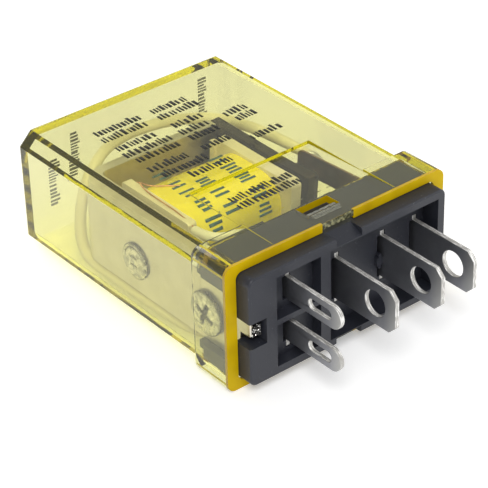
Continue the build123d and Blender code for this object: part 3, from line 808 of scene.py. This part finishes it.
def make_rim():
    """Skin of painted glow round the open rim, left out below each window."""
    outline = rounded_loop(COVER_HIGH.x - INSET, COVER_HIGH.z - INSET, SKIRT_CORNER)
    outer = cut_at_window(outline)
    inner = cut_at_window(rounded_loop(*RIM_INNER, RIM_INNER_CORNER))
    built = bmesh.new()
    rings = [
        [[built.verts.new((x, y, z)) for x, z in loop] for loop in (outer, inner)]
        for y in (RIM_Y + RIM_GLOW, RIM_Y - SKIN_T)
    ]
    (outer_low, inner_low), (outer_high, inner_high) = rings
    away = [abs(x) for x, _ in outer]
    for i in range(len(outer)):
        j = (i + 1) % len(outer)
        if max(away[i], away[j]) < WINDOW_HALF + NEAR:
            continue
        built.faces.new((outer_low[i], outer_low[j], inner_low[j], inner_low[i]))
        built.faces.new((outer_high[j], outer_high[i], inner_high[i], inner_high[j]))
        built.faces.new((outer_low[j], outer_low[i], outer_high[i], outer_high[j]))
        built.faces.new((inner_low[i], inner_low[j], inner_high[j], inner_high[i]))
        for end, other in ((i, j), (j, i)):
            at_window = abs(away[end] - WINDOW_HALF) < NEAR
            if at_window and away[other] > WINDOW_HALF + NEAR:
                cap = (outer_low[end], inner_low[end], inner_high[end], outer_high[end])
                built.faces.new(cap)
    add_skin("cover_rim", built, painted_rim_glow)


def make_window_walls():
    """Skins of painted glow on the four walls of each latch window."""
    near, far = WINDOW_Y
    walls = (
        ((-WINDOW_HALF, near), (-WINDOW_HALF, far), (1, 0)),
        ((WINDOW_HALF, near), (WINDOW_HALF, far), (-1, 0)),
        ((-WINDOW_HALF, near), (WINDOW_HALF, near), (0, 1)),
        ((-WINDOW_HALF, far), (WINDOW_HALF, far), (0, -1)),
    )
    built = bmesh.new()
    for side in (1, -1):
        for start, end, inward in walls:
            outlines = []
            for depth in (SKIN_GAP, SKIN_T):
                outline = []
                for (x, y), at_top in ((start, 0), (end, 0), (end, 1), (start, 1)):
                    z = panel_height(y) - INSET if at_top else RIM_INNER[1]
                    outline.append((x + inward[0] * depth, y + inward[1] * depth, side * z))
                outlines.append(outline)
            add_prism(built, *outlines)
    add_skin("window_walls", built, painted_rim_glow)


make_rim()
make_window_walls()

# ---- pale ridges on the latch noses and on the clear rim ----
NOSE_RIDGES = (3.98, 4.13, 4.28)
STRIP_RIDGES = (3.62, 3.44, 3.22, 3.02)
NOSE_Z = 6.7
NOSE_RISE = 0.06
STRIP_RISE = 0.02
RIDGE_HALF = 0.026
RIDGE_END = 1.75
RIDGE_LAST = 1.6       # no ridge starts past this
RIDGE_LENGTHS = (0.5, 1.1)
RIDGE_SPACES = (0.04, 0.12)


def make_latch_ridges():
    """Short broken ridges across the latch noses and across the rim in front of them."""
    draw = random.Random(31)
    built = bmesh.new()
    ridges = [(y, NOSE_Z, NOSE_RISE) for y in NOSE_RIDGES]
    ridges += [(y, panel_height(y), STRIP_RISE) for y in STRIP_RIDGES]
    for side in (1, -1):
        for y, seat, rise in ridges:
            foot = side * (seat - INSET)
            peak = side * (seat + rise)
            outline = ((y - RIDGE_HALF, foot), (y, peak), (y + RIDGE_HALF, foot))
            x = -RIDGE_END
            while x < RIDGE_LAST:
                reach = min(x + draw.uniform(*RIDGE_LENGTHS), RIDGE_END)
                start = [(x, *place) for place in outline]
                end = [(reach, *place) for place in outline]
                add_prism(built, start, end)
                x = reach + draw.uniform(*RIDGE_SPACES)
    add_built("latch_ridges", built, "base_plastic", material=materials["pale_ridge"])


def make_clear_rim():
    """Skin on the stretch of rim below each window, painted with the light and shade that shows
    through it.
    """
    half = WINDOW_HALF - INSET
    lower, upper = RIM_INNER[1] + CLEAR_STEP, COVER_HIGH.z - INSET
    built = bmesh.new()
    for side in (1, -1):
        outline = ((-half, lower), (half, lower), (half, upper), (-half, upper))
        start = [(x, RIM_Y - SKIN_T, side * z) for x, z in outline]
        end = [(x, RIM_Y + SKIN_GAP, side * z) for x, z in outline]
        add_prism(built, start, end)
    add_skin("rim_clear", built, clear_rim)


# ---- painted glow: the yellow light that gathers in the cover's edges ----
SLIVER_T = 0.04
SLIVER_GAP = 0.003     # from a sliver to the panel's side wall
SLIVER_START = 0.4     # from the rim
GLINT_DEPTH = 0.05
GLINT_HALF = (0.13, 0.015)
GLINT_STOP = 0.15      # the glints end this far before the skirt's end


def make_panel_edges():
    """Slivers of painted glow behind the two side walls of each recessed panel."""
    stretches = (
        (RIM_Y + SLIVER_START, SKIRT_END - INSET, COVER_HIGH.z - INSET),
        (SKIRT_END, PANEL_END, COVER_HIGH.z - SKIRT_PROUD - INSET),
    )
    built = bmesh.new()
    for side in (1, -1):
        for x in (-PANEL_HALF - SLIVER_GAP - SLIVER_T, PANEL_HALF + SLIVER_GAP):
            for start, end, upper in stretches:
                outline = (
                    (start, side * panel_height(start)),
                    (end, side * panel_height(end)),
                    (end, side * upper),
                    (start, side * upper),
                )
                near = [(x, *place) for place in outline]
                far = [(x + SLIVER_T, *place) for place in outline]
                add_prism(built, near, far)
    add_skin("panel_edges", built, painted_line_glow)


def make_corner_glints():
    """Lines of painted glow just under the skin where the skirt's rounded corners meet its flat
    faces.
    """
    wide, thin = GLINT_HALF
    lines = (
        (COVER_HIGH.x - SKIRT_CORNER, COVER_HIGH.z - GLINT_DEPTH, wide, thin),
        (COVER_HIGH.x - GLINT_DEPTH, COVER_HIGH.z - SKIRT_CORNER, thin, wide),
    )
    built = bmesh.new()
    for side_x in (1, -1):
        for side_z in (1, -1):
            for x, z, half_x, half_z in lines:
                outline = [(side_x * x + a, side_z * z + b) for a, b in square(half_x, half_z)]
                start = [(px, RIM_Y + RIM_GLOW, pz) for px, pz in outline]
                end = [(px, SKIRT_END - GLINT_STOP, pz) for px, pz in outline]
                add_prism(built, start, end)
    add_skin("corner_glints", built, painted_line_glow)


# ---- torn end of the yoke's tab ----
FRACTURE_X = (-11.5, -10.5)
FRACTURE_Z = (-1.0, 0.4)
FRACTURE_GRID = (15, 19)
FRACTURE_FOOT = 0.12   # the skin's border lies this far behind the tab's end
FRACTURE_RISE = (0.02, 0.22)


def make_tab_fracture():
    """Jagged skin over the end of the yoke's tab."""
    draw = random.Random(47)
    tab_y = box_mm("yoke")[0].y
    columns, rows = FRACTURE_GRID
    built = bmesh.new()
    grid = []
    for i in range(columns):
        line = []
        for k in range(rows):
            x = FRACTURE_X[0] + (FRACTURE_X[1] - FRACTURE_X[0]) * i / (columns - 1)
            z = FRACTURE_Z[0] + (FRACTURE_Z[1] - FRACTURE_Z[0]) * k / (rows - 1)
            border = i in (0, columns - 1) or k in (0, rows - 1)
            y = tab_y + FRACTURE_FOOT if border else tab_y - draw.uniform(*FRACTURE_RISE)
            line.append(built.verts.new((x, y, z)))
        grid.append(line)
    for i in range(columns - 1):
        for k in range(rows - 1):
            built.faces.new((grid[i][k], grid[i + 1][k], grid[i + 1][k + 1], grid[i][k + 1]))
    add_built("tab_fracture", built, "yoke_nickel", material=fracture, smooth=False)


make_latch_ridges()
make_clear_rim()
make_panel_edges()
make_corner_glints()
make_tab_fracture()

# ---- generic print: rows of plain strokes where a relay carries its ratings ----
STROKE_T = 0.01
PRINT_LIFT = 0.006     # from the surface to the print
END_LIFT = 0.003
PRINT_ROWS = (
    # height along the plug axis, then the stretches of print across the width
    (30.0, ((-7.8, -2.4), (-0.7, 3.7))),
    (28.5, ((-8.0, -2.5), (-0.9, 3.8))),
    (26.2, ((-7.9, -3.3), (-0.8, 2.7))),
    (24.6, ((-8.1, -2.5), (-1.1, 2.2), (4.6, 7.3))),
    (23.1, ((-7.7, -2.5), (-1.0, 2.3), (5.0, 7.2))),
    (20.8, ((-7.9, -3.4), (-1.3, 2.0))),
    (19.2, ((-7.5, -2.3), (3.7, 7.5))),
    (17.4, ((-5.4, -0.2),)),
    (11.4, ((-5.3, 1.8),)),
    (9.9, ((-5.5, 2.0),)),
)
PRINT_BARS = (1.25, 0.27)      # height and mean width of a bar
# on the closed end: place across the width, then the stretch through the thickness
END_COLUMNS = ((-6.9, (-0.9, 4.0)), (-9.2, (-3.0, 2.1)), (9.9, (-1.2, 4.2)))
END_BARS = (1.15, 0.22)
BAR_WIDTHS = (0.7, 1.5)            # least and most, as shares of the mean
BAR_HEIGHTS = (0.72, 0.72, 1.0, 0.86)
NARROW_SHARE = 0.72                # share of narrow spaces
NARROW_SPACE = 0.42                # as shares of the mean width
WIDE_SPACE = 0.9
BAR_SPACE = 0.045                  # added to each space


def add_stroke(built, centre, axes, half_along, half_across):
    """One flat stroke of print; its axes point along it, across it and out of the surface."""
    along, across, out = axes
    flat = [centre + along * a + across * b for a, b in square(half_along, half_across)]
    add_prism(built, flat, [place + out * STROKE_T for place in flat])


def fill_with_bars(built, draw, stretch, surface, axes, bars):
    """Fill a stretch with plain bars of uneven width and height, which aren't characters."""
    travel, end = stretch
    height, weight = bars
    while travel < end:
        width = draw.uniform(*BAR_WIDTHS) * weight
        tall = draw.choice(BAR_HEIGHTS) * height
        centre = surface(travel + width / 2) + axes[1] * ((tall - height) / 2)
        add_stroke(built, centre, axes, width / 2, tall / 2)
        space = NARROW_SPACE if draw.random() < NARROW_SHARE else WIDE_SPACE
        travel += width + space * weight + BAR_SPACE


def cover_surface(x, y):
    """A place just over the cover's upper broad face, with its recessed panel."""
    in_panel = y < PANEL_END and abs(x) < PANEL_HALF
    z = panel_height(y) if in_panel else COVER_HIGH.z - SKIRT_PROUD
    return Vector((x, y, z + PRINT_LIFT))


def make_cover_print():
    """Rows of bars on the upper broad face and columns of them on the closed end."""
    draw = random.Random(11)
    built = bmesh.new()
    broad_face = (X_AXIS, Y_AXIS, Z_AXIS)
    for y, stretches in PRINT_ROWS:
        for stretch in stretches:
            fill_with_bars(
                built, draw, stretch, lambda x, y=y: cover_surface(x, y), broad_face, PRINT_BARS
            )
    end_y = COVER_HIGH.y + END_LIFT
    closed_end = (Z_AXIS, X_AXIS, Y_AXIS)
    for x, stretch in END_COLUMNS:
        fill_with_bars(
            built, draw, stretch, lambda z, x=x: Vector((x, end_y, z)), closed_end, END_BARS
        )
    add_built("cover_print", built, "print_ink")


# columns of print on the tape: place along the coil, then where the column starts
TAPE_COLUMNS = ((-5.9, 21.4), (-3.4, 17.6), (0.2, 20.2))
TAPE_CORNER = 3.5
TAPE_STEP = 2.25       # from one group of bars to the next
TAPE_STOP = 0.6        # no group starts nearer than this to the rounded corner's end
TAPE_GROUPS = ((-0.6, 0.0, 0.6), (-0.55, 0.25), (-0.3, 0.5), (-0.6, -0.1, 0.45))
TAPE_BAR_HALF = 0.17
TAPE_BAR_HEIGHTS = (0.6, 1.0)


def make_tape_print():
    """Columns of bars that run over the tape's flat top and down its rounded corner."""
    draw = random.Random(23)
    built = bmesh.new()
    low, high = box_mm("coil_tape")
    centre_y = (low.y + high.y) / 2
    flat = (high.y - low.y) / 2 - TAPE_CORNER
    for x, first_y in TAPE_COLUMNS:
        travel = centre_y + flat - first_y
        while travel < 2 * flat + 0.5 * pi * TAPE_CORNER - TAPE_STOP:
            if travel < 2 * flat:
                out, along = Z_AXIS, -Y_AXIS
                place = Vector((x, centre_y + flat - travel, high.z))
            else:
                turn = (travel - 2 * flat) / TAPE_CORNER
                out = Vector((0, -sin(turn), cos(turn)))
                along = Vector((0, -cos(turn), -sin(turn)))
                place = Vector((x, centre_y - flat, high.z - TAPE_CORNER)) + out * TAPE_CORNER
            place = place + out * PRINT_LIFT
            for shift in draw.choice(TAPE_GROUPS):
                tall = draw.uniform(*TAPE_BAR_HEIGHTS)
                centre = place + along * shift
                add_stroke(built, centre, (along, X_AXIS, out), TAPE_BAR_HALF, tall)
            travel += TAPE_STEP
    add_built("tape_print", built, "coil_tape", material=materials["tape_ink"])


make_cover_print()
make_tape_print()

# ---- return spring: a bent leaf ----
LEAF_T = 0.2
LEAF_BEND = 0.7        # radius of its bend, at the middle of the thickness
LEAF_BOW = 0.28        # how far the hanging limb leans in
LEAF_FLARE = 0.30      # how far its foot turns out again
LEAF_FOOT = 0.3        # height of that foot
LEAF_INSET = 0.05      # from the CAD leaf's outer face
LEAF_TAPER = 0.25      # how much narrower its foot ends, at each side
FLAT_STEPS, BEND_STEPS, LIMB_STEPS, FOOT_STEPS = 8, 8, 10, 4


def leaf_line(low, high):
    """Middle line of the leaf: along the yoke leg, round the bend, down the limb, out the foot."""
    top = high.y - LEAF_T / 2
    right = high.x - LEAF_T / 2 - LEAF_INSET
    bend_x, bend_y = right - LEAF_BEND, top - LEAF_BEND
    line = []
    for i in range(FLAT_STEPS + 1):
        line.append((low.x + (bend_x - low.x) * i / FLAT_STEPS, top))
    for i in range(1, BEND_STEPS + 1):
        turn = 0.5 * pi * i / BEND_STEPS
        line.append((bend_x + LEAF_BEND * sin(turn), bend_y + LEAF_BEND * cos(turn)))
    for i in range(1, LIMB_STEPS + 1):
        share = i / LIMB_STEPS
        drop = (bend_y - low.y - LEAF_FOOT) * share
        line.append((right - LEAF_BOW * share**2, bend_y - drop))
    for i in range(1, FOOT_STEPS + 1):
        share = i / FOOT_STEPS
        line.append((right - LEAF_BOW + LEAF_FLARE * share**2, low.y + LEAF_FOOT * (1 - share)))
    return [Vector((x, y, 0)) for x, y in line]


def make_return_leaf():
    """The leaf as a strip along its middle line, narrower at its foot."""
    low, high = box_mm("return_spring")
    line = leaf_line(low, high)
    last = len(line) - 1
    rings = []
    for index, point in enumerate(line):
        run = (line[min(index + 1, last)] - line[max(index - 1, 0)]).normalized()
        out = Vector((-run.y, run.x, 0)) * (LEAF_T / 2)
        half = high.z - LEAF_TAPER * smoothstep(index, last - FOOT_STEPS, last)
        corners = ((1, -half), (1, half), (-1, half), (-1, -half))
        rings.append([point + out * face + Z_AXIS * z for face, z in corners])
    caps = [[sum(ring, Vector()) / 4] for ring in (rings[0], rings[-1])]
    built = bmesh.new()
    ring_skin(built, [caps[0], *rings, caps[1]])
    leaf = add_built("return_leaf", built, "spring_bronze", body=None, smooth=False)
    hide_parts("return_spring")
    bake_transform(leaf)


make_return_leaf()

# ---- floor, light and camera ----
FLOOR_SIZE = 4000
LIGHT_AIM = (0, 15, 0)
LIGHTS = (
    # name, place, diameter, power in watts
    ("key", (-160, -180, 320), 220, 0.75),
    ("fill", (260, -120, 160), 200, 0.2),
    ("back", (40, 320, 220), 240, 0.3),
)
WORLD_LIGHT = 0.5
LIGHT_BOUNCES = 24     # enough for the cover's walls, one behind the other
GLOSSY_BOUNCES = 12


def floor_material():
    s = Shader("floor_pale")
    speckle = s.noise(0.02, detail=2.0)
    s.set(
        Base_Color=s.mix(speckle, (0.90, 0.90, 0.90), (0.93, 0.93, 0.93)),
        Roughness=0.9,
        Emission_Color=(1.0, 1.0, 1.0),
        Emission_Strength=0.30,
    )
    return s.material


def make_floor():
    """Pale floor at the height of the relay's lowest point."""
    mesh = bpy.data.meshes.new("floor")
    half = FLOOR_SIZE * MM / 2
    z = cad_bounds[0].z
    corners = [(-half, -half, z), (half, -half, z), (half, half, z), (-half, half, z)]
    mesh.from_pydata(corners, [], [(0, 1, 2, 3)])
    floor = bpy.data.objects.new("floor", mesh)
    scene.collection.objects.link(floor)
    mesh.materials.append(floor_material())


def area_light(name, place, diameter, power):
    data = bpy.data.lights.new(name, "AREA")
    data.shape = "DISK"
    data.size = diameter * MM
    data.energy = power
    lamp = bpy.data.objects.new(name, data)
    lamp.location = Vector(place) * MM
    direction = Vector(LIGHT_AIM) - Vector(place)
    lamp.rotation_mode = "QUATERNION"
    lamp.rotation_quaternion = direction.to_track_quat("-Z", "Y")
    scene.collection.objects.link(lamp)


def make_world():
    world = bpy.data.worlds.new("studio")
    scene.world = world
    world.use_nodes = True
    background = world.node_tree.nodes["Background"]
    background.inputs["Color"].default_value = (1, 1, 1, 1)
    background.inputs["Strength"].default_value = WORLD_LIGHT


EYE = (-107.27, -118.66, 108.40)
AIM = (-2.66, 12.72, -0.20)
ROLL = radians(-1.59)
LENS = 149.7
SENSOR = 36.0
VIEW_DEPTH = (10, 10000)       # nearest and farthest that the camera sees


def make_camera():
    data = bpy.data.cameras.new("camera")
    data.lens = LENS
    data.sensor_width = SENSOR
    data.clip_start, data.clip_end = (distance * MM for distance in VIEW_DEPTH)
    camera = bpy.data.objects.new("camera", data)
    camera.location = Vector(EYE) * MM
    forward = Vector(AIM) - Vector(EYE)
    camera.rotation_mode = "QUATERNION"
    level = forward.to_track_quat("-Z", "Y").to_matrix()
    camera.rotation_quaternion = (level @ Matrix.Rotation(ROLL, 3, "Z")).to_quaternion()
    scene.collection.objects.link(camera)
    scene.camera = camera


make_floor()
make_world()
for light in LIGHTS:
    area_light(*light)
make_camera()
scene.view_settings.view_transform = "Standard"
scene.cycles.max_bounces = LIGHT_BOUNCES
scene.cycles.transmission_bounces = LIGHT_BOUNCES
scene.cycles.glossy_bounces = GLOSSY_BOUNCES
scene.cycles.transparent_max_bounces = LIGHT_BOUNCES
